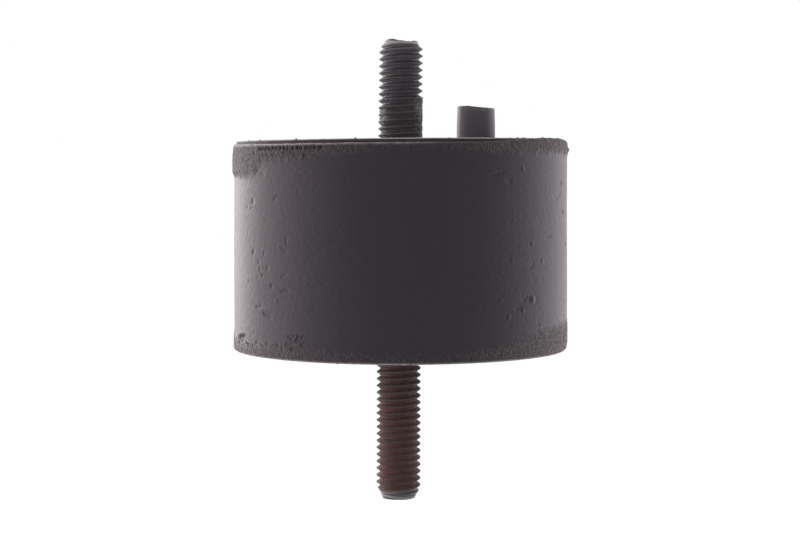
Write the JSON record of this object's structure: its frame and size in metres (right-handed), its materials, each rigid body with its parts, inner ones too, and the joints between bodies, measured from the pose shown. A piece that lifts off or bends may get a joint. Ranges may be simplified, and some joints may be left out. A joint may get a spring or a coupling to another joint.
{
  "type": "engine mount",
  "caption": "Round bonded rubber engine mount: a rubber block between steel end plates, with a threaded stud on each end and a locating pin beside the upper stud.",
  "frame": {"origin": "centre of the lower plate's outer face, the seating face that the lower stud stands out of", "axes": "+Z along the studs, from the lower stud towards the upper stud; +X from the upper stud towards the locating pin"},
  "size_m": [0.06, 0.06, 0.0828],
  "materials": {
    "rubber": "black moulded rubber, satin sides with rough crumbly rims",
    "plate_steel": "thin black coating over steel, dull, slightly rusted",
    "black_steel": "black oxide, satin, grimy",
    "rusty_steel": "dark steel under thin red-brown rust, bare at the nose"
  },
  "bodies": {
    "root": {"rubber_body": "rubber", "upper_plate": "plate_steel", "lower_plate": "plate_steel", "upper_stud": "black_steel", "lower_stud": "rusty_steel", "locating_pin": "black_steel"}
  },
  "joints": []
}
